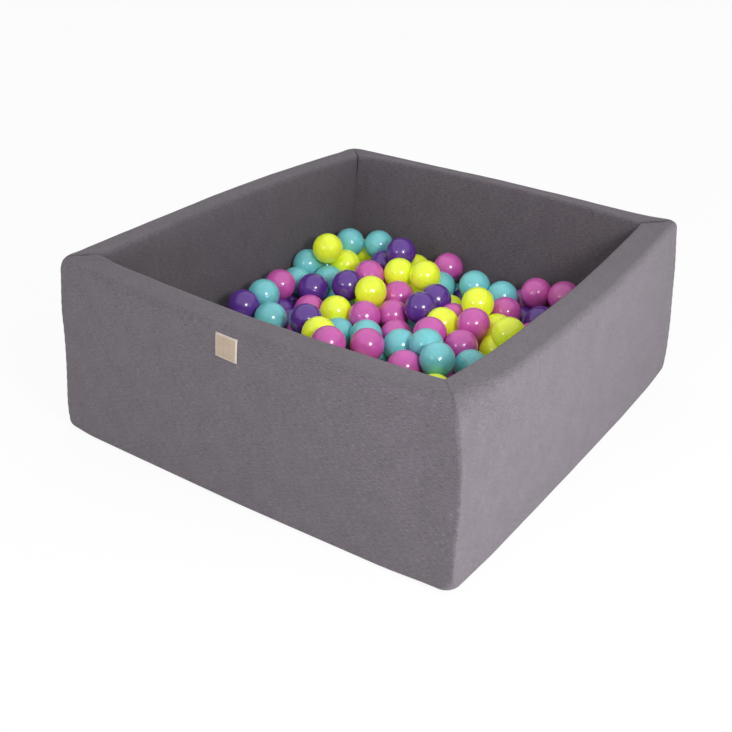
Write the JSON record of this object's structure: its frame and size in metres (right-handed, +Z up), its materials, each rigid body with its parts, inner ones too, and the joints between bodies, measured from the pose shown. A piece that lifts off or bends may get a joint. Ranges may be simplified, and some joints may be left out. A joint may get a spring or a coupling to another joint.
{
  "type": "ball pit",
  "caption": "Square foam ball pit: padded walls in knit covers round a floor pad, a zip low on the back, a small tag and a heap of glossy plastic balls.",
  "frame": {"origin": "middle of the flat base, on the ground", "axes": "+Z up, +X to the right along the front wall, -Y out through the front wall, which carries the tag"},
  "size_m": [0.9259, 0.9293, 0.36],
  "materials": {
    "ball_bed": "glossy moulded plastic, mixed colours",
    "ball_lime": "glossy moulded plastic",
    "ball_pink": "glossy moulded plastic",
    "ball_turquoise": "glossy moulded plastic",
    "ball_violet": "glossy moulded plastic",
    "base_cloth": "plain dark lining cloth",
    "foam": "open-cell polyurethane foam block",
    "melange_knit": "fine dark grey-mauve melange knit",
    "tag_leather": "pale beige imitation leather",
    "tag_thread": "beige sewing thread",
    "zip_coil": "nylon zip coil",
    "zip_metal": "dull grey enamelled zinc",
    "zip_tape": "woven zip tape"
  },
  "bodies": {
    "pit": {"ball_bed": "ball_bed", "base_cloth": "base_cloth", "corner_web_back_left": "melange_knit", "corner_web_back_right": "melange_knit", "corner_web_front_left": "melange_knit", "corner_web_front_right": "melange_knit", "cover_floor": "melange_knit", "cover_wall_back": "melange_knit", "cover_wall_front": "melange_knit", "cover_wall_left": "melange_knit", "cover_wall_right": "melange_knit", "foam_floor": "foam", "foam_wall_back": "foam", "foam_wall_front": "foam", "foam_wall_left": "foam", "foam_wall_right": "foam", "label_tag": "tag_leather", "label_thread": "tag_thread", "zip_coil": "zip_coil", "zip_stop_left": "zip_metal", "zip_stop_right": "zip_metal", "zip_tape_lower": "zip_tape", "zip_tape_upper": "zip_tape"},
    "ball_01": {"ball_01": "ball_pink"},
    "ball_02": {"ball_02": "ball_pink"},
    "ball_03": {"ball_03": "ball_turquoise"},
    "ball_04": {"ball_04": "ball_turquoise"},
    "ball_05": {"ball_05": "ball_violet"},
    "ball_06": {"ball_06": "ball_lime"},
    "ball_07": {"ball_07": "ball_lime"},
    "ball_08": {"ball_08": "ball_lime"},
    "ball_09": {"ball_09": "ball_pink"},
    "ball_10": {"ball_10": "ball_violet"},
    "ball_11": {"ball_11": "ball_lime"},
    "ball_12": {"ball_12": "ball_pink"},
    "ball_13": {"ball_13": "ball_violet"},
    "ball_14": {"ball_14": "ball_lime"},
    "ball_15": {"ball_15": "ball_pink"},
    "ball_16": {"ball_16": "ball_pink"},
    "ball_17": {"ball_17": "ball_lime"},
    "ball_18": {"ball_18": "ball_turquoise"},
    "ball_19": {"ball_19": "ball_pink"},
    "ball_20": {"ball_20": "ball_turquoise"},
    "ball_21": {"ball_21": "ball_violet"},
    "ball_22": {"ball_22": "ball_lime"},
    "ball_23": {"ball_23": "ball_pink"},
    "ball_24": {"ball_24": "ball_turquoise"},
    "ball_25": {"ball_25": "ball_pink"},
    "ball_26": {"ball_26": "ball_violet"},
    "slider": {"zip_slider": "zip_metal"},
    "pull": {"zip_pull": "zip_metal"}
  },
  "joints": [
    {"name": "ball_01_lift", "type": "slide", "parent": "pit", "child": "ball_01", "axis": [0, 0, 1], "range_m": [0, 0.3]},
    {"name": "ball_02_lift", "type": "slide", "parent": "pit", "child": "ball_02", "axis": [0, 0, 1], "range_m": [0, 0.3]},
    {"name": "ball_03_lift", "type": "slide", "parent": "pit", "child": "ball_03", "axis": [0, 0, 1], "range_m": [0, 0.3]},
    {"name": "ball_04_lift", "type": "slide", "parent": "pit", "child": "ball_04", "axis": [0, 0, 1], "range_m": [0, 0.3]},
    {"name": "ball_05_lift", "type": "slide", "parent": "pit", "child": "ball_05", "axis": [0, 0, 1], "range_m": [0, 0.3]},
    {"name": "ball_06_lift", "type": "slide", "parent": "pit", "child": "ball_06", "axis": [0, 0, 1], "range_m": [0, 0.3]},
    {"name": "ball_07_lift", "type": "slide", "parent": "pit", "child": "ball_07", "axis": [0, 0, 1], "range_m": [0, 0.3]},
    {"name": "ball_08_lift", "type": "slide", "parent": "pit", "child": "ball_08", "axis": [0, 0, 1], "range_m": [0, 0.3]},
    {"name": "ball_09_lift", "type": "slide", "parent": "pit", "child": "ball_09", "axis": [0, 0, 1], "range_m": [0, 0.3]},
    {"name": "ball_10_lift", "type": "slide", "parent": "pit", "child": "ball_10", "axis": [0, 0, 1], "range_m": [0, 0.3]},
    {"name": "ball_11_lift", "type": "slide", "parent": "pit", "child": "ball_11", "axis": [0, 0, 1], "range_m": [0, 0.3]},
    {"name": "ball_12_lift", "type": "slide", "parent": "pit", "child": "ball_12", "axis": [0, 0, 1], "range_m": [0, 0.3]},
    {"name": "ball_13_lift", "type": "slide", "parent": "pit", "child": "ball_13", "axis": [0, 0, 1], "range_m": [0, 0.3]},
    {"name": "ball_14_lift", "type": "slide", "parent": "pit", "child": "ball_14", "axis": [0, 0, 1], "range_m": [0, 0.3]},
    {"name": "ball_15_lift", "type": "slide", "parent": "pit", "child": "ball_15", "axis": [0, 0, 1], "range_m": [0, 0.3]},
    {"name": "ball_16_lift", "type": "slide", "parent": "pit", "child": "ball_16", "axis": [0, 0, 1], "range_m": [0, 0.3]},
    {"name": "ball_17_lift", "type": "slide", "parent": "pit", "child": "ball_17", "axis": [0, 0, 1], "range_m": [0, 0.3]},
    {"name": "ball_18_lift", "type": "slide", "parent": "pit", "child": "ball_18", "axis": [0, 0, 1], "range_m": [0, 0.3]},
    {"name": "ball_19_lift", "type": "slide", "parent": "pit", "child": "ball_19", "axis": [0, 0, 1], "range_m": [0, 0.3]},
    {"name": "ball_20_lift", "type": "slide", "parent": "pit", "child": "ball_20", "axis": [0, 0, 1], "range_m": [0, 0.3]},
    {"name": "ball_21_lift", "type": "slide", "parent": "pit", "child": "ball_21", "axis": [0, 0, 1], "range_m": [0, 0.3]},
    {"name": "ball_22_lift", "type": "slide", "parent": "pit", "child": "ball_22", "axis": [0, 0, 1], "range_m": [0, 0.3]},
    {"name": "ball_23_lift", "type": "slide", "parent": "pit", "child": "ball_23", "axis": [0, 0, 1], "range_m": [0, 0.3]},
    {"name": "ball_24_lift", "type": "slide", "parent": "pit", "child": "ball_24", "axis": [0, 0, 1], "range_m": [0, 0.3]},
    {"name": "ball_25_lift", "type": "slide", "parent": "pit", "child": "ball_25", "axis": [0, 0, 1], "range_m": [0, 0.3]},
    {"name": "ball_26_lift", "type": "slide", "parent": "pit", "child": "ball_26", "axis": [0, 0, 1], "range_m": [0, 0.3]},
    {"name": "zip_run", "type": "slide", "parent": "pit", "child": "slider", "axis": [1, 0, 0], "range_m": [0, 0.7814]},
    {"name": "pull_swing", "type": "hinge", "parent": "slider", "child": "pull", "pos_m": [-0.3907, 0.46625, 0.044], "axis": [0, 0, 1], "range_deg": [0, 180]}
  ]
}
